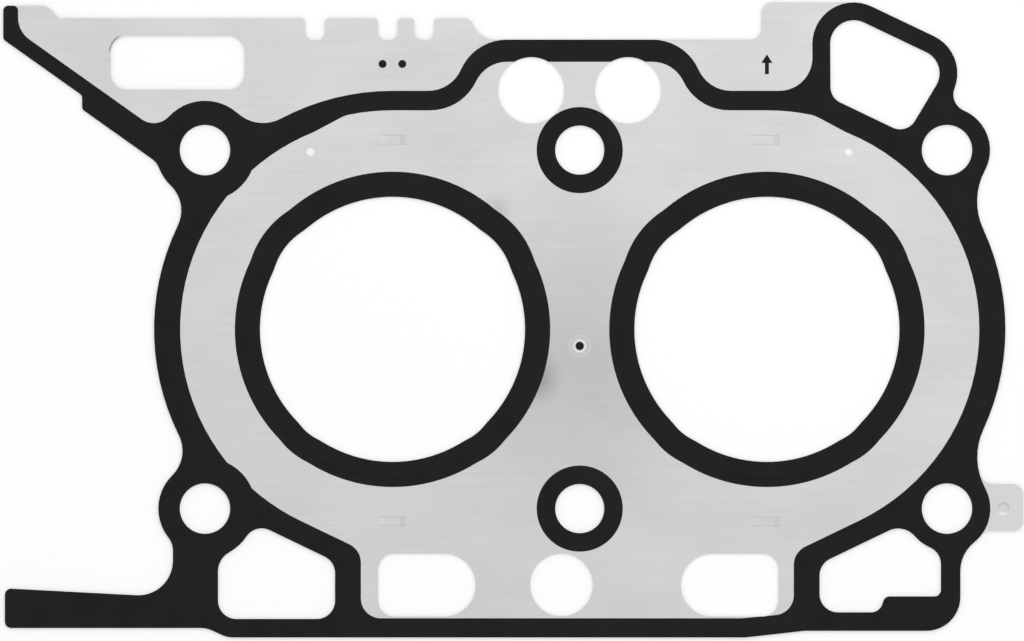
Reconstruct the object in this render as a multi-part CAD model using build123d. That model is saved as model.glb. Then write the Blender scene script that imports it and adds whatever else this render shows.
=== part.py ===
from build123d import *
import os
from math import asin, atan2, cos, degrees, hypot, radians, sin, sqrt

# Cylinder head gasket for two side by side bores, pressed from two thin steel sheets.
# Every size is in millimetres. The origin lies midway between the two bore centres, on the
# underside of the lower sheet. +X runs along the row of bores and +Z away from the block.

# Bores
bore_pitch = 113.0
bore_d = 80.0
relief_depth_upper = 0.75
relief_depth_lower = 0.35
relief_r_upper = 20.0
relief_r_lower = 15.0
relief_angle_upper = 37.5
relief_angle_lower = 51.0
relief_blend_r = 25.0

# Head bolts: four at the corners and two on the centre line
bolt_spacing_y = 108.2
bolt_reach_left = 56.6
bolt_reach_right = 54.35
corner_bolt_hole_d = 15.2
middle_bolt_hole_d = 14.8

# Sheets, stopper rings and rubber coat
carrier_t = 0.30
active_t = 0.25
stopper_t = 0.10
stopper_gap = 0.3
coat_t = 0.05

# Raised beads
bore_bead_h = 0.22
bore_bead_crest_w = 0.8
bore_bead_slope_w = 0.8
bore_bead_offset = 4.2
edge_bead_h = 0.18
edge_bead_slope_w = 0.8
edge_bead_offset = 2.8

# Flanks of the seal: the coolant window and the outer edge run round each bore
jacket_w = 24.1
track_w = 7.9
crown_rise = 2.0
crown_step_turn = 16.24
crown_step_lean = 11.76
crown_blend_r = 9.0

# Bosses round the corner bolts, outside the seal and inside it
boss_r_upper_left = 14.9
boss_r_lower_left = 14.1
boss_r_upper_right = 13.0
boss_r_lower_right = 13.1
boss_window_r = 15.4

# Concave blends between bosses and flanks
blend_r_left = 10.4
blend_r_right = 19.7
blend_r_arch = 11.4

# Raised arch over the two upper passages, with its height above their centres
arch_rise = 15.35
arch_shoulder_x = 22.0
arch_shoulder_r = 15.15
arch_blend_r = 10.8
arch_w = 6.7
arch_inner_x = 21.9
arch_inner_r = 10.4
arch_inner_blend_r = 15.3

# Lower frame of the seal: its lowest edge is placed from the lower bolts, and heights from that edge
lower_reach = 38.9
lower_left_rise = 2.85
lower_left_inset = 3.6
lower_left_angle = -24.4
lower_right_rise = 2.0
lower_right_reach = 2.5
lower_right_angle = 6.4
lower_blend_r = 8.0
right_side_gap = 4.05
right_corner_r = 10.25
right_neck_r = 11.0
window_floor_rise = 5.8
window_rise_inset = 7.5
window_rise_angle = 5.5
window_rise_r = 20.0
window_corner_r = 6.0
window_post_left = 9.55
window_post_right = 8.1
window_post_r = 6.1
spoke_angle = 25.7
spoke_w = 6.6
post_w = 7.8

# Arms on the left, placed from the left bolts
upper_arm_reach = 60.9
upper_arm_tip_rise = 3.8
upper_arm_tip_w = 4.5
upper_arm_shoulder_rise = 33.4
upper_arm_angle = -35.4
upper_arm_neck_reach = 37.1
upper_arm_neck_rise = 12.3
upper_arm_top_reach = 55.1
upper_arm_top_rise = 34.9
upper_arm_top_blend_r = 8.0
upper_arm_root_r = 6.2
arm_corner_r = 1.5
lower_arm_reach = 60.4
lower_arm_w = 12.0
lower_arm_top_angle = 177.0
lower_arm_root_reach = 9.7
lower_arm_corner_r = 1.9

# Ports beside the bolts, placed from them and from the lowest edge
port_rim_w = 5.4
upper_port_corners = ((-28.15, 32.1, 7.1), (-30.05, 19.0, 5.1), (-14.15, 11.5, 5.2), (-9.25, 23.2, 7.0))
upper_port_left_blend_r = 10.0
upper_port_right_blend_r = 5.25
right_port_floor_rise = 7.6
right_port_step_inset = 19.55
right_port_step_h = 4.8
right_port_step_angle = 72.0
right_port_step_r = 3.6
right_port_side_gap = 1.85
right_port_bolt_r = 12.8
left_port_floor_rise = 5.6
left_port_side_gap = 3.95
left_port_bolt_r = 15.1
port_corner_r = 5.5
port_bolt_corner_r = 6.6
port_small_r = 2.0

# Round passages above the middle bolt and above the lowest edge, and pin holes inside the window's edge
upper_passage_x = 14.6
upper_passage_rise = 18.0
upper_passage_d = 20.1
lower_passage_x = -5.5
lower_passage_rise = 15.9
lower_passage_d = 19.0
pin_hole_inset = 5.08
pin_hole_angle = 65.26
pin_hole_d = 2.7

# Slots in the bare steel: one beyond the upper left bolt and one below each bore
panel_slot_reach = 8.2
panel_slot_rise = 26.4
panel_slot_l = 40.5
panel_slot_w = 16.3
panel_slot_r = 5.0
drain_slot_inset_left = 10.4
drain_slot_inset_right = 11.25
drain_slot_rise = 15.85
drain_slot_l = 29.5
drain_slot_w = 19.05
drain_slot_r = 4.9

# Sheet edge beyond the seal: left panel above the arch, right panel beside the port, and tab
panel_rise = 6.45
panel_step_reach = 44.4
panel_step_angle = 125.0
panel_step_r = 5.4
panel_step_foot_r = 2.0
panel_end_inset = 24.9
panel_end_angle = 114.0
panel_end_r = 3.0
panel_end_blend_r = 7.0
notch_insets = (9.6, -1.4, -23.35)
notch_w = 6.0
notch_depth = 6.6
notch_floor_r = 2.4
notch_lip_r = 1.2
right_panel_inset = 1.64
right_panel_corner_r = 3.3
tab_reach = 22.95
tab_rise = 7.4
tab_drop = 6.7
tab_corner_r = 3.1
tab_root_r = 4.3
tab_foot_r = 2.0

# Joints that hold the two sheets together: clinches beyond the bores' edges, and a dimple in the tab
clinch_reach_upper = 17.2
clinch_reach_lower = 18.0
clinch_l = 8.0
clinch_w = 2.6
clinch_gap = 0.2
clinch_ramp = 1.8
clinch_floor = 0.02
tab_dimple_inset = 5.9
tab_dimple_d = 2.4

# Rubber rings round the middle bolts and the bores, and printed dots
middle_coat_d = 26.0
bore_coat_w = 7.6
centre_dot_y = -5.0
centre_dot_d = 2.5
edge_dot_insets = (-3.0, 2.95)
edge_dot_drop = 7.2
edge_dot_d = 2.4

# Places that follow from the sizes above
reliefs = (
    (relief_angle_upper, relief_r_upper, relief_depth_upper),
    (180 - relief_angle_upper, relief_r_upper, relief_depth_upper),
    (180 + relief_angle_lower, relief_r_lower, relief_depth_lower),
    (-relief_angle_lower, relief_r_lower, relief_depth_lower),
)
BASE = (Align.CENTER, Align.CENTER, Align.MIN)
SAME_PLACE = 1e-4
left_bore_x = -bore_pitch / 2
right_bore_x = bore_pitch / 2
bore_xs = (left_bore_x, right_bore_x)
left_bolt_x = left_bore_x - bolt_reach_left
right_bolt_x = right_bore_x + bolt_reach_right
bolt_y = bolt_spacing_y / 2
window_r = bore_d / 2 + jacket_w
flank_r = window_r + track_w
crown_r = window_r + crown_rise
upper_passage_y = bolt_y + upper_passage_rise
arch_y = upper_passage_y + arch_rise
arch_shoulder_y = arch_y - arch_shoulder_r
panel_top_y = arch_y + panel_rise
notch_floor_y = panel_top_y - notch_depth
lower_y = -bolt_y - lower_reach
lower_left_y = lower_y + lower_left_rise
lower_right_y = lower_y + lower_right_rise
window_lower_y = lower_y + window_floor_rise
upper_arm_tip_x = left_bolt_x - upper_arm_reach
upper_arm_tip_y = panel_top_y + upper_arm_tip_rise
upper_arm_neck_x = left_bolt_x - upper_arm_neck_reach
lower_arm_tip_x = left_bolt_x - lower_arm_reach
right_port_floor_y = lower_y + right_port_floor_rise
right_port_step_y = right_port_floor_y + right_port_step_h
lower_passage_y = lower_y + lower_passage_rise
drain_slot_y = lower_y + drain_slot_rise
tab_x = right_bolt_x + tab_reach
active_top = carrier_t + active_t
coat_top = active_top + coat_t
full_h = coat_top + bore_bead_h

# Distance from the bead's centre line to where its inner slope meets the stopper ring's level
bore_bead_foot = bore_bead_crest_w / 2 + bore_bead_slope_w * (bore_bead_h - stopper_t) / bore_bead_h


# Outlines: sides and corner radii in turn, drawn anticlockwise
def side(x, y, heading):
    """Straight side through (x, y), running at this heading in degrees."""
    return ("side", x, y, radians(heading))


def bend(x, y, r):
    """Round side about (x, y), anticlockwise, or clockwise where r is negative."""
    return ("bend", x, y, r)


def moved(part, left):
    """The same side, moved to its own left."""
    kind, x, y, v = part
    if kind == "side":
        return (kind, x - left * sin(v), y + left * cos(v), v)
    return (kind, x, y, v - left)


def turned(part):
    """The same straight side, run the other way."""
    kind, x, y, v = part
    return (kind, x, y, v + radians(180))


def touching(round_side, heading):
    """Straight side at this heading that touches an anticlockwise bend."""
    x, y, r = round_side[1:]
    a = radians(heading)
    return side(x + r * sin(a), y - r * cos(a), heading)


def strap(first, second):
    """Straight side that touches two anticlockwise bends in turn."""
    dx = second[1] - first[1]
    dy = second[2] - first[2]
    lean = asin((first[3] - second[3]) / hypot(dx, dy))
    return touching(first, degrees(atan2(dy, dx) + lean))


def foot(part, x, y):
    """Point of a side that is nearest to (x, y)."""
    kind, px, py, v = part
    if kind == "side":
        along = (x - px) * cos(v) + (y - py) * sin(v)
        return (px + along * cos(v), py + along * sin(v))
    share = abs(v) / hypot(x - px, y - py)
    return (px + (x - px) * share, py + (y - py) * share)


def on_line_and_circle(line, circle, far):
    """Nearer or farther crossing of a moved side with a moved bend."""
    x, y = foot(line, circle[1], circle[2])
    gap = hypot(x - circle[1], y - circle[2])
    step = sqrt(circle[3] ** 2 - gap ** 2)
    step = step if far else -step
    return (x + step * cos(line[3]), y + step * sin(line[3]))


def corner_centre(a, b, r):
    """Centre of the corner between two sides. A positive radius turns left."""
    p = moved(a, r)
    q = moved(b, r)
    if a[0] == "side" and b[0] == "side":
        cross = cos(p[3]) * sin(q[3]) - sin(p[3]) * cos(q[3])
        along = ((q[1] - p[1]) * sin(q[3]) - (q[2] - p[2]) * cos(q[3])) / cross
        return (p[1] + along * cos(p[3]), p[2] + along * sin(p[3]))
    if a[0] == "side":
        return on_line_and_circle(p, q, b[3] * r > 0)
    if b[0] == "side":
        return on_line_and_circle(q, p, a[3] * r < 0)
    dx = b[1] - a[1]
    dy = b[2] - a[2]
    d = hypot(dx, dy)
    along = (p[3] ** 2 - q[3] ** 2 + d ** 2) / (2 * d)
    aside = sqrt(p[3] ** 2 - along ** 2)
    aside = aside if r * a[3] * b[3] > 0 else -aside
    return (a[1] + (along * dx - aside * dy) / d, a[2] + (along * dy + aside * dx) / d)


def contact(a, b):
    """Point where a straight or round side touches the next one."""
    if a[0] == "side":
        return foot(a, b[1], b[2])
    return foot(b, a[1], a[2])


def run(start, end, part):
    """Edge of a side from one point to the next."""
    kind, x, y, v = part
    if hypot(end[0] - start[0], end[1] - start[1]) < SAME_PLACE:
        return []
    if kind == "side":
        return [Line(start, end)]
    a = atan2(start[1] - y, start[0] - x)
    b = atan2(end[1] - y, end[0] - x)
    full = radians(360)
    sweep = (b - a) % full if v > 0 else -((a - b) % full)
    middle = (x + abs(v) * cos(a + sweep / 2), y + abs(v) * sin(a + sweep / 2))
    return [ThreePointArc(start, middle, end)]


def outline(path, grow=0.0):
    """Face inside a path of sides and corner radii, moved outward by grow."""
    sides = [moved(part, -grow) for part in path[0::2]]
    radii = [r + grow if r else 0.0 for r in path[1::2]]
    arrive = []
    leave = []
    corners = []
    for a, b, r in zip(sides, sides[1:] + sides[:1], radii):
        if r:
            x, y = corner_centre(a, b, r)
            arrive.append(foot(a, x, y))
            leave.append(foot(b, x, y))
            corners.append(bend(x, y, r))
        else:
            arrive.append(contact(a, b))
            leave.append(arrive[-1])
            corners.append(None)
    edges = []
    for i, part in enumerate(sides):
        edges += run(leave[i - 1], arrive[i], part)
        if corners[i]:
            edges += run(arrive[i], leave[i], corners[i])
    return make_face(edges)


# Sides that several outlines share
left_flank = bend(left_bore_x, 0, flank_r)
right_flank = bend(right_bore_x, 0, flank_r)
left_window = bend(left_bore_x, 0, window_r)
right_window = bend(right_bore_x, 0, window_r)
upper_left_boss = bend(left_bolt_x, bolt_y, boss_r_upper_left)
lower_left_boss = bend(left_bolt_x, -bolt_y, boss_r_lower_left)
upper_right_boss = bend(right_bolt_x, bolt_y, boss_r_upper_right)
lower_right_boss = bend(right_bolt_x, -bolt_y, boss_r_lower_right)
left_spoke = touching(left_window, -spoke_angle)
right_spoke = touching(right_window, spoke_angle)
left_post_x = left_bore_x - window_post_left
right_post_x = right_bore_x + window_post_right
port_bends = [bend(right_bolt_x + x, bolt_y + y, r) for x, y, r in upper_port_corners]
rim_bends = [moved(part, -port_rim_w) for part in port_bends]
rim_top_y = rim_bends[0][2] + rim_bends[0][3]
arch_top = side(0, arch_y, 180)


# Outer edge of the seal and of the sheets, in stretches
def lower_edge():
    """From the tip of the upper arm down the left side and along the bottom to the right."""
    path = [side(upper_arm_tip_x, 0, 270), arm_corner_r]
    path += [side(upper_arm_tip_x, bolt_y + upper_arm_shoulder_rise, upper_arm_angle), -arm_corner_r]
    path += [side(upper_arm_neck_x, 0, 270), arm_corner_r]
    path += [side(upper_arm_neck_x, bolt_y + upper_arm_neck_rise, upper_arm_angle), -upper_arm_root_r]
    path += [upper_left_boss, -blend_r_left, left_flank, -blend_r_left]
    path += [lower_left_boss, -upper_arm_root_r]
    path += [side(left_bolt_x - lower_arm_root_reach, 0, 270), -blend_r_left]
    path += [side(lower_arm_tip_x, lower_left_y + lower_arm_w, lower_arm_top_angle), lower_arm_corner_r]
    path += [side(lower_arm_tip_x, 0, 270), lower_arm_corner_r]
    path += [side(0, lower_left_y, 0), -lower_blend_r]
    step_x = left_bolt_x + lower_left_inset
    path += [side(step_x, (lower_left_y + lower_y) / 2, lower_left_angle), lower_blend_r]
    path += [side(0, lower_y, 0), lower_blend_r]
    step_x = right_bore_x + lower_right_reach
    path += [side(step_x, (lower_right_y + lower_y) / 2, lower_right_angle), -lower_blend_r]
    path += [side(0, lower_right_y, 0), right_corner_r]
    path += [side(right_bolt_x + right_side_gap, 0, 90), -right_neck_r]
    return path + [lower_right_boss]


def right_edge():
    """From the right flank up to the top of the rim round the upper port."""
    path = [right_flank, -blend_r_right, upper_right_boss, -upper_port_right_blend_r]
    path += [rim_bends[3], 0, strap(rim_bends[3], rim_bends[0]), 0]
    return path + [rim_bends[0], 0]


def seal_top():
    """Over the arch and back along the upper arm, where the rubber ends."""
    shoulder_r = arch_y - arch_shoulder_y
    path = [strap(rim_bends[0], rim_bends[1]), -upper_port_left_blend_r]
    path += [side(0, flank_r, 180), -arch_blend_r]
    path += [bend(arch_shoulder_x, arch_shoulder_y, shoulder_r), 0, arch_top, 0]
    path += [bend(-arch_shoulder_x, arch_shoulder_y, shoulder_r), -arch_blend_r]
    path += [side(0, flank_r, 180), 0, left_flank, -blend_r_arch]
    path += [upper_left_boss, -upper_arm_root_r]
    top_x = left_bolt_x - upper_arm_top_reach
    top_y = bolt_y + upper_arm_top_rise
    path += [side(top_x, top_y, upper_arm_angle + 180), -upper_arm_top_blend_r]
    path += [side(upper_arm_tip_x + upper_arm_tip_w, 0, 90), arm_corner_r]
    return path + [side(0, upper_arm_tip_y, 180), arm_corner_r]


def tab():
    """The tab beside the lower right bolt, back to the flank's blend."""
    x, y = corner_centre(lower_right_boss, right_flank, -blend_r_right)
    path = [-tab_foot_r, side(0, -bolt_y - tab_drop, 0), tab_corner_r]
    path += [side(tab_x, 0, 90), tab_corner_r, side(0, -bolt_y + tab_rise, 180), -tab_root_r]
    return path + [bend(x, y, -blend_r_right), 0]


def sheet_top():
    """Along the bare panels above the seal, with their notches."""
    top = side(0, panel_top_y, 180)
    path = [side(0, rim_top_y, 180), right_panel_corner_r]
    path += [side(right_bore_x - right_panel_inset, 0, 270), -right_panel_corner_r]
    path += [arch_top, -panel_end_blend_r]
    end_x = left_bore_x + panel_end_inset
    path += [side(end_x, (arch_y + panel_top_y) / 2, panel_end_angle), panel_end_r]
    for x in [left_bore_x + inset for inset in notch_insets]:
        path += [top, notch_lip_r, side(x + notch_w / 2, 0, 270), -notch_floor_r]
        path += [side(0, notch_floor_y, 180), -notch_floor_r]
        path += [side(x - notch_w / 2, 0, 90), notch_lip_r]
    step = side(left_bolt_x - panel_step_reach, panel_top_y, panel_step_angle)
    path += [top, -panel_step_foot_r, step, panel_step_r]
    return path + [side(0, upper_arm_tip_y, 180), arm_corner_r]


seal_edge = lower_edge() + [-blend_r_right] + right_edge() + seal_top()
sheet_edge = lower_edge() + tab() + right_edge() + sheet_top()


# Openings
def bore_edge(x):
    """Bore opening: a circle with four shallow valve reliefs."""
    wall = bend(x, 0, bore_d / 2)
    path = []
    for angle, r, depth in reliefs:
        reach = bore_d / 2 + depth - r
        a = radians(angle)
        path += [wall, -relief_blend_r, bend(x + reach * cos(a), reach * sin(a), r), -relief_blend_r]
    return path


def window_edge():
    """Inner edge of the seal, round the coolant jacket."""
    step_r = (window_r + crown_r) / 2
    step_x = step_r * sin(radians(crown_step_turn))
    step_y = step_r * cos(radians(crown_step_turn))
    step_angle = crown_step_turn + crown_step_lean
    crown_top = side(0, crown_r, 180)
    inner_y = arch_y - arch_w - arch_inner_r
    path = [side(0, window_lower_y, 0), window_rise_r]
    rise_x = right_bore_x - window_rise_inset
    path += [side(rise_x, window_lower_y, window_rise_angle), window_corner_r]
    path += [side(right_post_x, 0, 90), -window_post_r, right_spoke, 0, right_window, -crown_blend_r]
    path += [side(right_bore_x + step_x, step_y, 180 - step_angle), crown_blend_r]
    path += [bend(right_bore_x, 0, crown_r), 0, crown_top, -arch_inner_blend_r]
    path += [bend(arch_inner_x, inner_y, arch_inner_r), 0, moved(arch_top, arch_w), 0]
    path += [bend(-arch_inner_x, inner_y, arch_inner_r), -arch_inner_blend_r]
    path += [crown_top, 0, bend(left_bore_x, 0, crown_r), crown_blend_r]
    path += [side(left_bore_x - step_x, step_y, 180 + step_angle), -crown_blend_r]
    path += [left_window, 0, left_spoke, -window_post_r]
    return path + [side(left_post_x, 0, 270), window_corner_r]


def upper_port_edge():
    """Port beside the upper right bolt: four round corners joined by straight sides."""
    path = []
    for part, following in zip(port_bends, port_bends[1:] + port_bends[:1]):
        path += [part, 0, strap(part, following), 0]
    return path


def wall_r(floor_y, wall, ceiling):
    """Corner radius of a port's wall, limited by the height of that wall."""
    height = corner_centre(wall, ceiling, 0)[1] - floor_y
    return min(port_corner_r, height / 2)


def right_port_edge():
    """Port beside the lower right bolt, with a step in its floor."""
    wall = side(right_post_x + post_w, 0, 270)
    ceiling = turned(moved(right_spoke, -spoke_w))
    r = wall_r(right_port_floor_y, ceiling, wall)
    step_x = right_bolt_x - right_port_step_inset
    step_y = (right_port_floor_y + right_port_step_y) / 2
    path = [side(0, right_port_floor_y, 0), right_port_step_r]
    path += [side(step_x, step_y, right_port_step_angle), -port_small_r]
    path += [side(0, right_port_step_y, 0), port_small_r]
    path += [side(right_bolt_x - right_port_side_gap, 0, 90), port_corner_r]
    path += [bend(right_bolt_x, -bolt_y, -right_port_bolt_r), port_bolt_corner_r]
    return path + [ceiling, r, wall, r]


def left_port_edge():
    """Port beside the lower left bolt."""
    floor_y = lower_y + left_port_floor_rise
    wall = side(left_post_x - post_w, 0, 90)
    ceiling = turned(moved(left_spoke, -spoke_w))
    r = wall_r(floor_y, wall, ceiling)
    path = [side(0, floor_y, 0), r, wall, r, ceiling, port_corner_r]
    path += [bend(left_bolt_x, -bolt_y, -left_port_bolt_r), port_bolt_corner_r]
    return path + [side(left_bolt_x + left_port_side_gap, 0, 270), port_corner_r]


def holes(d, *places):
    """Round holes of one size."""
    return [Pos(x, y) * Circle(d / 2) for x, y in places]


def drain_slot(x, tip):
    """Slot below a bore: round at the end named by tip, -1 left or 1 right, and squarer at the other."""
    half = drain_slot_w / 2
    left_r = half if tip < 0 else drain_slot_r
    right_r = half if tip > 0 else drain_slot_r
    path = [side(0, drain_slot_y - half, 0), right_r, side(x + drain_slot_l / 2, 0, 90), right_r]
    path += [side(0, drain_slot_y + half, 180), left_r, side(x - drain_slot_l / 2, 0, 270), left_r]
    return outline(path)


bores = [outline(bore_edge(x)) for x in bore_xs]
corner_bolts = [(x, y) for x in (left_bolt_x, right_bolt_x) for y in (bolt_y, -bolt_y)]
middle_bolts = [(0, bolt_y), (0, -bolt_y)]
openings = bores + holes(corner_bolt_hole_d, *corner_bolts) + holes(middle_bolt_hole_d, *middle_bolts)
openings += holes(upper_passage_d, (-upper_passage_x, upper_passage_y), (upper_passage_x, upper_passage_y))
openings += holes(lower_passage_d, (lower_passage_x, lower_passage_y))
pin_hole_r = window_r - pin_hole_inset
pin_hole_x = right_bore_x + pin_hole_r * cos(radians(pin_hole_angle))
pin_hole_y = pin_hole_r * sin(radians(pin_hole_angle))
openings += holes(pin_hole_d, (-pin_hole_x, pin_hole_y), (pin_hole_x, pin_hole_y))
openings += [outline(edge()) for edge in (upper_port_edge, right_port_edge, left_port_edge)]
openings += [drain_slot(left_bore_x + drain_slot_inset_left, 1)]
openings += [drain_slot(right_bore_x - drain_slot_inset_right, -1)]
panel_slot = RectangleRounded(panel_slot_l, panel_slot_w, panel_slot_r)
openings += [Pos(left_bolt_x - panel_slot_reach, bolt_y + panel_slot_rise) * panel_slot]


# Forming the active sheet: beads round the bores, a step round the coolant window, pads at its bolts
def plug(path, low_grow, high_grow, low_z, high_z):
    """Solid that widens or narrows from one offset of a path to another."""
    low = Pos(0, 0, low_z) * outline(path, low_grow)
    high = Pos(0, 0, high_z) * outline(path, high_grow)
    return loft([low, high], ruled=True)


def form_below(z):
    """Everything below the formed surface whose flat middle lies at this height."""
    half = edge_bead_slope_w / 2
    top = z + edge_bead_h
    dimple_r = tab_dimple_d / 2
    dimple = Cone(dimple_r, dimple_r + edge_bead_slope_w, edge_bead_h, align=BASE)
    pad_r = middle_coat_d / 2 - edge_bead_offset
    pad = Cone(pad_r + half, pad_r - half, edge_bead_h, align=BASE)
    block = extrude(stock, top)
    block -= plug(window_edge(), edge_bead_offset - half, edge_bead_offset + half, z, top)
    block -= Pos(tab_x - tab_dimple_inset, -bolt_y, z) * dimple
    for x, y in middle_bolts:
        block += Pos(x, y, z) * pad
    crest = bore_bead_crest_w / 2
    wide = crest + bore_bead_slope_w
    for x in bore_xs:
        path = bore_edge(x)
        outer = plug(path, bore_bead_offset + wide, bore_bead_offset + crest, z, z + bore_bead_h)
        inner_foot = bore_bead_offset - bore_bead_foot
        inner = plug(path, inner_foot, bore_bead_offset - crest, z + stopper_t, z + bore_bead_h)
        block += outer - inner
    return block


def formed(face, low_z, high_z):
    """Layer of the formed surface between two heights, cut to a face."""
    return (form_below(high_z) - form_below(low_z)) & extrude(face, 2 * full_h)


# Joints: tongues of the active sheet, pressed into windows of the carrier
def tongue(x, y):
    """Strip of the active sheet that dips into the carrier and comes up again."""
    end = clinch_l / 2
    foot_x = end - clinch_ramp
    lower_line = [(-end, carrier_t), (-foot_x, clinch_floor), (foot_x, clinch_floor), (end, carrier_t)]
    sunk = clinch_floor + active_t
    upper_line = [(end, active_top), (foot_x, sunk), (-foot_x, sunk), (-end, active_top)]
    profile = Plane.XZ * make_face(Polyline(*lower_line, *upper_line, close=True))
    return Pos(x, y + clinch_w / 2, 0) * extrude(profile, clinch_w)


# Plan shapes of the layers
sheet_face = outline(sheet_edge) - openings
sheet_size = sheet_face.bounding_box().size
stock = Rectangle(2 * sheet_size.X, 2 * sheet_size.Y)
clinch_ys = (bore_d / 2 + clinch_reach_upper, -bore_d / 2 - clinch_reach_lower)
clinches = [(x, y) for x in bore_xs for y in clinch_ys]
clinch_windows = [Pos(x, y) * Rectangle(clinch_l, clinch_w + 2 * clinch_gap) for x, y in clinches]
bosses_in_window = [Pos(left_bolt_x, y) * Circle(boss_window_r) for y in (bolt_y, -bolt_y)]
jacket_window = outline(window_edge()) - bosses_in_window
seal_face = outline(seal_edge) - jacket_window - openings
bore_coats = [outline(bore_edge(x), bore_coat_w) - bore for x, bore in zip(bore_xs, bores)]
bolt_ring = Circle(middle_coat_d / 2) - Circle(middle_bolt_hole_d / 2)
bolt_coats = [Pos(x, y) * bolt_ring for x, y in middle_bolts]
stopper_w = bore_bead_offset - bore_bead_foot - stopper_gap
stoppers = [outline(bore_edge(x), stopper_w) - bore for x, bore in zip(bore_xs, bores)]
edge_dot = Circle(edge_dot_d / 2)
edge_dot_y = notch_floor_y - edge_dot_drop
edge_dots = [Pos(left_bore_x + inset, edge_dot_y) * edge_dot for inset in edge_dot_insets]


# Layers
active_sheet = formed(sheet_face - clinch_windows, carrier_t, active_top)
for x, y in clinches:
    active_sheet += tongue(x, y)

nodes = {
    "carrier_sheet": extrude(sheet_face - clinch_windows, carrier_t),
    "active_sheet": active_sheet,
    "left_stopper_ring": Pos(0, 0, carrier_t) * extrude(stoppers[0], stopper_t),
    "right_stopper_ring": Pos(0, 0, carrier_t) * extrude(stoppers[1], stopper_t),
    "perimeter_coat": formed(seal_face, active_top, coat_top),
    "left_bore_coat": formed(bore_coats[0], active_top, coat_top),
    "right_bore_coat": formed(bore_coats[1], active_top, coat_top),
    "upper_bolt_coat": formed(bolt_coats[0], active_top, coat_top),
    "lower_bolt_coat": formed(bolt_coats[1], active_top, coat_top),
    "centre_dot": formed(Pos(0, centre_dot_y) * Circle(centre_dot_d / 2), active_top, coat_top),
    "left_edge_dot": formed(edge_dots[0], active_top, coat_top),
    "right_edge_dot": formed(edge_dots[1], active_top, coat_top),
}

os.makedirs("parts", exist_ok=True)
for name, shape in nodes.items():
    export_step(shape, f"parts/{name}.step")
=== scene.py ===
import bmesh
import bpy
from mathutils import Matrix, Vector


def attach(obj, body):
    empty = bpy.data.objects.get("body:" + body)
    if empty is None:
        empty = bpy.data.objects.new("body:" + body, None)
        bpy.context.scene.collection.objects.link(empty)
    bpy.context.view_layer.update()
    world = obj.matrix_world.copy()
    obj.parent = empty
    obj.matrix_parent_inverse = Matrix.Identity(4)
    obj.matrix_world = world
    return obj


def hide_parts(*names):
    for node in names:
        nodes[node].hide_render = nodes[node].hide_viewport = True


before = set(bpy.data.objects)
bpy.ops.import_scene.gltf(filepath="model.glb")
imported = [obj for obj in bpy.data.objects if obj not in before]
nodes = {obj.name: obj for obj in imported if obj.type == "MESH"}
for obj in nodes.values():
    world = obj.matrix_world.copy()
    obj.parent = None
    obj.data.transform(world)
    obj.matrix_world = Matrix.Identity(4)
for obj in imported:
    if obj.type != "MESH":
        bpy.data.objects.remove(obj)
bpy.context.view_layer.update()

# One millimetre, in metres
MM = 0.001

# View of the photograph: straight down, with +Y at the top of the picture
VIEW_WIDTH = 309.06 * MM
VIEW_CENTRE = (-20.44 * MM, 2.67 * MM)
CAMERA_HEIGHT = 1.2
CAMERA_REACH = 10.0

# Light of the world on the object, and as the camera, metal and glass see it
WORLD_LIGHT = 0.88
WORLD_SEEN = 1.0

# Soft box above the far side
LAMP_PLACE = (0.15, 0.38, 0.75)
LAMP_SIZE = 0.9
LAMP_WATTS = 1.7

# Table just under the gasket, and the glow that makes it as white as the world
FLOOR_HALF = 3.0
FLOOR_DROP = 0.02 * MM
FLOOR_TONE = 0.86
FLOOR_GLOW = 0.265

# Tones of the finishes, as linear values, and how warm or cool they are
STEEL_TONE = 0.645
STOPPER_TONE = 0.58
STEEL_WARMTH = 0.002
COAT_TONE = 0.0066
COAT_WARMTH = -0.01
COAT_SPECULAR = 0.18

# Noises that vary a finish from a lowest to a highest value. Cells are per metre along X, Y and Z
STEEL_CLOUDS = dict(cells=(9, 14, 9), detail=3, lowest=0.98, highest=1.018)
STEEL_STREAKS = dict(cells=(22, 620, 22), detail=4, lowest=0.982, highest=1.014)
STEEL_GRAIN = dict(cells=(110, 3600, 110), detail=3, lowest=0.98, highest=1.018)
STEEL_ROUGHNESS = dict(cells=(30, 45, 30), detail=4, lowest=0.43, highest=0.53)
COAT_MOTTLE = dict(cells=(45, 45, 45), detail=4, lowest=0.9, highest=1.1)
COAT_SPECKS = dict(cells=(1500, 1500, 1500), detail=2, lowest=0.92, highest=1.08)
COAT_ROUGHNESS = dict(cells=(110, 110, 110), detail=4, lowest=0.56, highest=0.68)

# Values that most of a noise lies between
NOISE_RANGE = (0.3, 0.7)

# Sparse marks, which start and are full at these values of their noise, and change the tone by a gain
STEEL_SCRATCHES = dict(cells=(28, 1900, 28), detail=2, roughness=0.7, start=0.74, full=0.8, gain=1.05)
COAT_DUST = dict(cells=(900, 900, 900), detail=1, roughness=0.55, start=0.76, full=0.82, gain=2.2)

# Fine relief of the surfaces
STEEL_LINES = dict(cells=(130, 4200, 130), detail=3, strength=0.10, depth=0.02 * MM)
STEEL_PITS = dict(cells=(2600, 2600, 2600), detail=2, strength=0.08, depth=0.015 * MM)
COAT_SKIN = dict(cells=(1400, 1400, 1400), detail=3, strength=0.45, depth=0.03 * MM)

# Cut edges are darker than faces. A normal's Z, without its sign, tells one from the other
EDGE_TONE = 0.6
EDGE_Z = 0.3
FACE_Z = 0.6

# Spot between the bores where the sheets are fused, and the rings of painted highlight round it, as
# radius and added share
SPOT = (0.0, -5.0 * MM)
SPOT_HIGHLIGHT_RINGS = ((1.75 * MM, 0.4), (3.1 * MM, 0.12))
SPOT_HIGHLIGHT_W = 0.65 * MM
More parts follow.
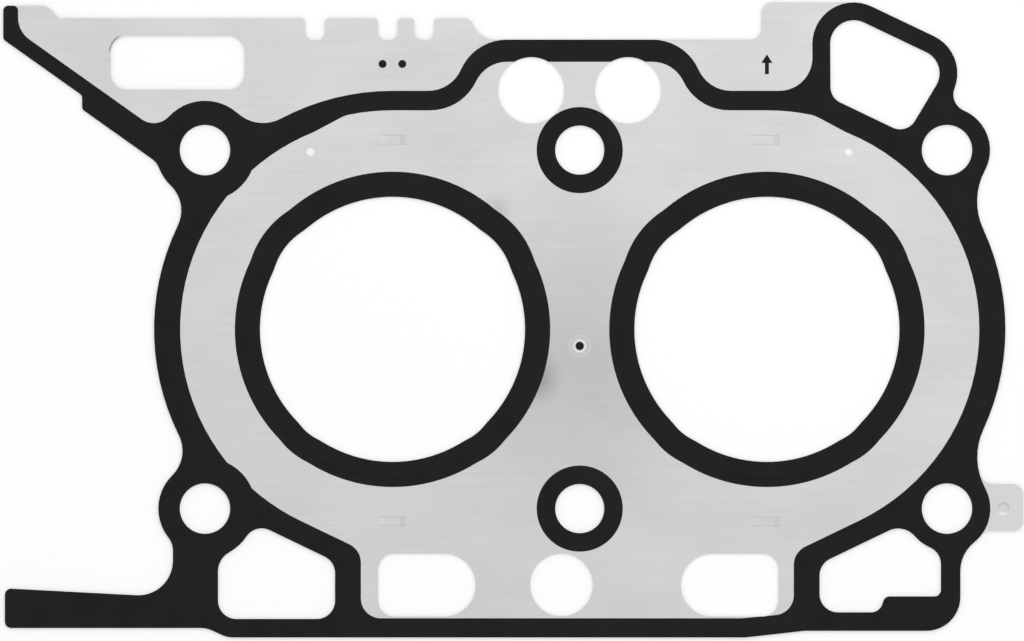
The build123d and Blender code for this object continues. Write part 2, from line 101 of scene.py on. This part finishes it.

# Darker patches on the steel, as place, radius and tone: a wide painted shade between the bores, and two
# smaller darker spots
SHADE_AND_SPOTS = (
    # Wide painted shade between the bores
    ((0.0, -13.0 * MM), 64 * MM, 0.825),
    ((-14.0 * MM, -14.5 * MM), 10.5 * MM, 0.6),
    ((-25.0 * MM, 36.0 * MM), 6.5 * MM, 0.82),
)

# Arc of painted shade at the upper left corner of the long slot, round the centre of that corner
CORNER = (-136.55 * MM, 83.65 * MM)
CORNER_R = 5.3 * MM
CORNER_W = 0.5 * MM
CORNER_SHADE = 0.5

# Direction of the arc's middle, and how far out along it the arc starts to show and is full
CORNER_SIDE = (-0.85, 0.53)
CORNER_REACH = (4.2 * MM, 4.9 * MM)

# Rubber under the carrier. Its plan comes from the faces of an upper coat whose normals point down
LOWER_COAT_T = 0.03 * MM
DOWN_Z = -0.5
MERGE_DISTANCE = 0.001 * MM

# Small printed arrow on the right panel, where the active sheet is raised
ARROW_PLACE = (56.5 * MM, 80.0 * MM)
ARROW_L = 6.0 * MM
ARROW_SHAFT_W = 1.2 * MM
ARROW_HEAD_W = 3.4 * MM
ARROW_HEAD_L = 2.6 * MM
ARROW_T = 0.01 * MM
PANEL_TOP = 0.73 * MM


# Node helpers
def new_material(name):
    """Empty material, its tree and its output node."""
    material = bpy.data.materials.new(name)
    material.use_nodes = True
    tree = material.node_tree
    tree.nodes.clear()
    output = tree.nodes.new("ShaderNodeOutputMaterial")
    return material, tree, output


def link(tree, source, target):
    """Joins two sockets."""
    tree.links.new(source, target)


def noise(tree, cells, detail, roughness=0.55):
    """Noise from 0 to 1, with this many cells per metre along each axis."""
    coords = tree.nodes.new("ShaderNodeTexCoord")
    mapping = tree.nodes.new("ShaderNodeMapping")
    mapping.inputs["Scale"].default_value = cells
    link(tree, coords.outputs["Object"], mapping.inputs["Vector"])
    node = tree.nodes.new("ShaderNodeTexNoise")
    node.inputs["Scale"].default_value = 1.0
    node.inputs["Detail"].default_value = detail
    node.inputs["Roughness"].default_value = roughness
    link(tree, mapping.outputs["Vector"], node.inputs["Vector"])
    return node.outputs["Fac"]


def ramp(tree, value, low, high, out_low, out_high):
    """Value carried smoothly from one range to another, and kept inside it."""
    node = tree.nodes.new("ShaderNodeMapRange")
    node.interpolation_type = "SMOOTHSTEP"
    numbers = {"From Min": low, "From Max": high, "To Min": out_low, "To Max": out_high}
    for name, number in numbers.items():
        node.inputs[name].default_value = number
    link(tree, value, node.inputs["Value"])
    return node.outputs["Result"]


def variation(tree, cells, detail, lowest, highest):
    """Noise spread from a lowest to a highest value."""
    return ramp(tree, noise(tree, cells, detail), *NOISE_RANGE, lowest, highest)


def marks(tree, cells, detail, roughness, start, full, gain):
    """Sparse marks: their gain where they are, and 1 between them."""
    return ramp(tree, noise(tree, cells, detail, roughness), start, full, 1.0, gain)


def relief(tree, cells, detail, strength, depth, under=None):
    """Normal of a surface bumped by noise, over another bump if there is one."""
    node = tree.nodes.new("ShaderNodeBump")
    node.inputs["Strength"].default_value = strength
    node.inputs["Distance"].default_value = depth
    link(tree, noise(tree, cells, detail), node.inputs["Height"])
    if under is not None:
        link(tree, under, node.inputs["Normal"])
    return node.outputs["Normal"]


def combine(tree, operation, first, second=0.0):
    """Sum, product or other result of values, each a socket or a number."""
    node = tree.nodes.new("ShaderNodeMath")
    node.operation = operation
    for socket, value in zip(node.inputs, (first, second)):
        if isinstance(value, (int, float)):
            socket.default_value = value
        else:
            link(tree, value, socket)
    return node.outputs["Value"]


def product(tree, first, *others):
    """All the values multiplied together."""
    for other in others:
        first = combine(tree, "MULTIPLY", first, other)
    return first


def grey(tree, value, warmth):
    """Grey of this value, a little warmer or cooler than neutral."""
    node = tree.nodes.new("ShaderNodeCombineColor")
    for name, share in (("Red", 1 + warmth), ("Green", 1.0), ("Blue", 1 - warmth)):
        link(tree, combine(tree, "MULTIPLY", value, share), node.inputs[name])
    return node.outputs["Color"]


def offsets_from(tree, place):
    """Distances along X and Y from a point in the plane of the sheet, in metres."""
    coords = tree.nodes.new("ShaderNodeTexCoord")
    parts = tree.nodes.new("ShaderNodeSeparateXYZ")
    link(tree, coords.outputs["Object"], parts.inputs["Vector"])
    dx = combine(tree, "SUBTRACT", parts.outputs["X"], place[0])
    dy = combine(tree, "SUBTRACT", parts.outputs["Y"], place[1])
    return dx, dy


def distance_from(tree, place):
    """Distance from a point in the plane of the sheet, in metres."""
    dx, dy = offsets_from(tree, place)
    squares = combine(tree, "ADD", product(tree, dx, dx), product(tree, dy, dy))
    return combine(tree, "SQRT", squares)


def ring_mask(tree, distance, r, width):
    """1 on a circle of radius r and 0 a width away from it."""
    off = combine(tree, "ABSOLUTE", combine(tree, "SUBTRACT", distance, r))
    return ramp(tree, off, 0.0, width, 1.0, 0.0)


def background_seen(tree):
    """1 for what the camera, metal or glass sees, and 0 for the light on the object."""
    path = tree.nodes.new("ShaderNodeLightPath")
    seen = combine(tree, "ADD", path.outputs["Is Camera Ray"], path.outputs["Is Glossy Ray"])
    seen = combine(tree, "ADD", seen, path.outputs["Is Transmission Ray"])
    return combine(tree, "MINIMUM", seen, 1.0)


def finish_material(made, tint, roughness, normal, warmth, metallic=0.0, specular=0.5):
    """Sets the shader's sockets from the values that a finish has worked out."""
    material, tree, output = made
    shader = tree.nodes.new("ShaderNodeBsdfPrincipled")
    shader.inputs["Metallic"].default_value = metallic
    shader.inputs["Specular IOR Level"].default_value = specular
    link(tree, grey(tree, tint, warmth), shader.inputs["Base Color"])
    link(tree, roughness, shader.inputs["Roughness"])
    link(tree, normal, shader.inputs["Normal"])
    link(tree, shader.outputs["BSDF"], output.inputs["Surface"])
    return material


# Marks on the steel: painted highlight, painted shade, darker spots and cut edges
def painted_highlight_rings(tree):
    """Gain of the rings of painted highlight round the fused spot, 1 elsewhere."""
    away = distance_from(tree, SPOT)
    gain = 1.0
    for r, share in SPOT_HIGHLIGHT_RINGS:
        ring = product(tree, ring_mask(tree, away, r, SPOT_HIGHLIGHT_W), share)
        gain = combine(tree, "ADD", ring, gain)
    return gain


def painted_shade_and_spots(tree):
    """Tone of the painted shade between the bores and of the darker spots, 1 outside them."""
    tones = [ramp(tree, distance_from(tree, place), 0.0, r, tone, 1.0) for place, r, tone in SHADE_AND_SPOTS]
    return product(tree, *tones)


def painted_corner_shade(tree):
    """Tone of the painted shade at the slot's corner: a narrow arc that fades out at both ends."""
    dx, dy = offsets_from(tree, CORNER)
    along = combine(tree, "ADD", product(tree, dx, CORNER_SIDE[0]), product(tree, dy, CORNER_SIDE[1]))
    arc = ring_mask(tree, distance_from(tree, CORNER), CORNER_R, CORNER_W)
    mask = product(tree, arc, ramp(tree, along, *CORNER_REACH, 0.0, 1.0))
    return ramp(tree, mask, 0.0, 1.0, 1.0, CORNER_SHADE)


def dark_edges(tree):
    """Tone of the cut edges, 1 on the faces of a sheet."""
    geometry = tree.nodes.new("ShaderNodeNewGeometry")
    parts = tree.nodes.new("ShaderNodeSeparateXYZ")
    link(tree, geometry.outputs["True Normal"], parts.inputs["Vector"])
    return ramp(tree, combine(tree, "ABSOLUTE", parts.outputs["Z"]), EDGE_Z, FACE_Z, EDGE_TONE, 1.0)


# Finishes
def steel_material(name, tone):
    """Cold-rolled spring steel: soft clouds, grain and sparse scratches along X, darker spots and cut
    edges, with painted shade between the bores and at a slot's corner and painted highlight rings round
    the fused spot.
    """
    made = new_material(name)
    tree = made[1]
    clouds = variation(tree, **STEEL_CLOUDS)
    streaks = variation(tree, **STEEL_STREAKS)
    grain = variation(tree, **STEEL_GRAIN)
    scratches = marks(tree, **STEEL_SCRATCHES)
    # Painted shade between the bores and at the slot's corner, painted highlight rings round the fused
    # spot, and darker spots
    painted_light_and_spots = product(tree, painted_shade_and_spots(tree), painted_corner_shade(tree), painted_highlight_rings(tree))
    tint = product(tree, clouds, streaks, grain, scratches, painted_light_and_spots, dark_edges(tree), tone)
    rubbed = variation(tree, **STEEL_ROUGHNESS)
    lines = relief(tree, **STEEL_LINES)
    pits = relief(tree, under=lines, **STEEL_PITS)
    return finish_material(made, tint, rubbed, pits, STEEL_WARMTH, metallic=1.0)


def coat_material(name, tone):
    """Screen-printed rubber: near black and matt, with a fine skin, soft mottling and a little dust."""
    made = new_material(name)
    tree = made[1]
    mottle = variation(tree, **COAT_MOTTLE)
    specks = variation(tree, **COAT_SPECKS)
    dust = marks(tree, **COAT_DUST)
    tint = product(tree, mottle, specks, dust, tone)
    dull = variation(tree, **COAT_ROUGHNESS)
    skin = relief(tree, **COAT_SKIN)
    return finish_material(made, tint, dull, skin, COAT_WARMTH, specular=COAT_SPECULAR)


def floor_material():
    """White table with the object's soft shadow on it, clear where it is seen from below."""
    material, tree, output = new_material("white_table")
    diffuse = tree.nodes.new("ShaderNodeBsdfDiffuse")
    diffuse.inputs["Color"].default_value = (FLOOR_TONE, FLOOR_TONE, FLOOR_TONE, 1.0)
    glow = tree.nodes.new("ShaderNodeEmission")
    link(tree, product(tree, background_seen(tree), FLOOR_GLOW), glow.inputs["Strength"])
    both = tree.nodes.new("ShaderNodeAddShader")
    link(tree, diffuse.outputs["BSDF"], both.inputs[0])
    link(tree, glow.outputs["Emission"], both.inputs[1])
    side = tree.nodes.new("ShaderNodeNewGeometry")
    clear = tree.nodes.new("ShaderNodeBsdfTransparent")
    mixed = tree.nodes.new("ShaderNodeMixShader")
    link(tree, side.outputs["Backfacing"], mixed.inputs["Fac"])
    link(tree, both.outputs["Shader"], mixed.inputs[1])
    link(tree, clear.outputs["BSDF"], mixed.inputs[2])
    link(tree, mixed.outputs["Shader"], output.inputs["Surface"])
    return material


STEEL = steel_material("rolled_steel", STEEL_TONE)
STOPPER = steel_material("stopper_steel", STOPPER_TONE)
COAT = coat_material("printed_rubber", COAT_TONE)


def dress_nodes():
    """Gives each CAD piece its finish: steel on sheets and rings, rubber on the rest."""
    for name, node in nodes.items():
        finish = COAT
        if name.endswith("_sheet"):
            finish = STEEL
        elif name.endswith("_stopper_ring"):
            finish = STOPPER
        node.data.materials.clear()
        node.data.materials.append(finish)


# Pieces that the solids leave out
def add_piece(name, mesh, finish):
    """Object made from a mesh, with its finish, on the gasket's body."""
    piece = bpy.data.objects.new(name, mesh)
    bpy.context.scene.collection.objects.link(piece)
    mesh.materials.clear()
    mesh.materials.append(finish)
    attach(piece, "root")
    return piece


def add_printed_piece(name, plan):
    """Rubber piece made from a bmesh, which is freed."""
    mesh = bpy.data.meshes.new(name)
    plan.to_mesh(mesh)
    plan.free()
    return add_piece(name, mesh, COAT)


def add_carrier():
    """The carrier, with its underside lifted by the thickness of the lower rubber."""
    mesh = nodes["carrier_sheet"].data.copy()
    for vertex in mesh.vertices:
        vertex.co.z = max(vertex.co.z, LOWER_COAT_T)
    carrier = add_piece("carrier_with_lower_coat", mesh, STEEL)
    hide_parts("carrier_sheet")


def add_lower_coat(name):
    """Rubber under the carrier: the plan of an upper coat, laid flat on the lowest level."""
    plan = bmesh.new()
    plan.from_mesh(nodes[name].data)
    bmesh.ops.remove_doubles(plan, verts=plan.verts, dist=MERGE_DISTANCE)
    others = [face for face in plan.faces if face.normal.z > DOWN_Z]
    bmesh.ops.delete(plan, geom=others, context="FACES")
    for vertex in plan.verts:
        vertex.co.z = 0.0
    piece = add_printed_piece("under_" + name, plan)
    solid = piece.modifiers.new("thickness", "SOLIDIFY")
    solid.thickness = LOWER_COAT_T
    solid.offset = -1.0


def add_arrow():
    """Small printed arrow that points away from the bores."""
    x, y = ARROW_PLACE
    low = y - ARROW_L / 2
    tip = y + ARROW_L / 2
    neck = tip - ARROW_HEAD_L
    half = ARROW_SHAFT_W / 2
    wide = ARROW_HEAD_W / 2
    right = [(half, low), (half, neck), (wide, neck)]
    left = [(-dx, height) for dx, height in reversed(right)]
    outline = [(x + dx, height) for dx, height in right + [(0.0, tip)] + left]
    plan = bmesh.new()
    face = plan.faces.new([plan.verts.new((px, py, PANEL_TOP)) for px, py in outline])
    raised = bmesh.ops.extrude_face_region(plan, geom=[face])
    for item in raised["geom"]:
        if isinstance(item, bmesh.types.BMVert):
            item.co.z += ARROW_T
    bmesh.ops.recalc_face_normals(plan, faces=plan.faces)
    add_printed_piece("printed_arrow", plan)


# Stage
def add_floor():
    """Wide level table just under the gasket."""
    half = FLOOR_HALF
    corners = [(-half, -half), (half, -half), (half, half), (-half, half)]
    mesh = bpy.data.meshes.new("table")
    mesh.from_pydata([(x, y, -FLOOR_DROP) for x, y in corners], [], [(0, 1, 2, 3)])
    mesh.materials.append(floor_material())
    table = bpy.data.objects.new("table", mesh)
    bpy.context.scene.collection.objects.link(table)


def add_world():
    """Even studio light, white where the camera sees it."""
    world = bpy.data.worlds.new("studio")
    world.use_nodes = True
    tree = world.node_tree
    tree.nodes.clear()
    output = tree.nodes.new("ShaderNodeOutputWorld")
    background = tree.nodes.new("ShaderNodeBackground")
    strength = ramp(tree, background_seen(tree), 0.0, 1.0, WORLD_LIGHT, WORLD_SEEN)
    link(tree, strength, background.inputs["Strength"])
    link(tree, background.outputs["Background"], output.inputs["Surface"])
    bpy.context.scene.world = world


def add_lamp():
    """Square soft box that faces the gasket."""
    light = bpy.data.lights.new("overhead", "AREA")
    light.shape = "SQUARE"
    light.size = LAMP_SIZE
    light.energy = LAMP_WATTS
    lamp = bpy.data.objects.new("overhead", light)
    lamp.location = LAMP_PLACE
    lamp.rotation_euler = (-Vector(LAMP_PLACE)).to_track_quat("-Z", "Y").to_euler()
    bpy.context.scene.collection.objects.link(lamp)


def add_camera():
    """Camera that looks straight down from above, framed as the photograph is."""
    data = bpy.data.cameras.new("camera")
    data.type = "ORTHO"
    data.ortho_scale = VIEW_WIDTH
    data.clip_end = CAMERA_REACH
    camera = bpy.data.objects.new("camera", data)
    camera.location = (*VIEW_CENTRE, CAMERA_HEIGHT)
    bpy.context.scene.collection.objects.link(camera)
    bpy.context.scene.camera = camera


dress_nodes()
add_carrier()
for name in nodes:
    if name.endswith("_coat"):
        add_lower_coat(name)
add_arrow()
add_floor()
add_world()
add_lamp()
add_camera()
bpy.context.scene.view_settings.view_transform = "Standard"
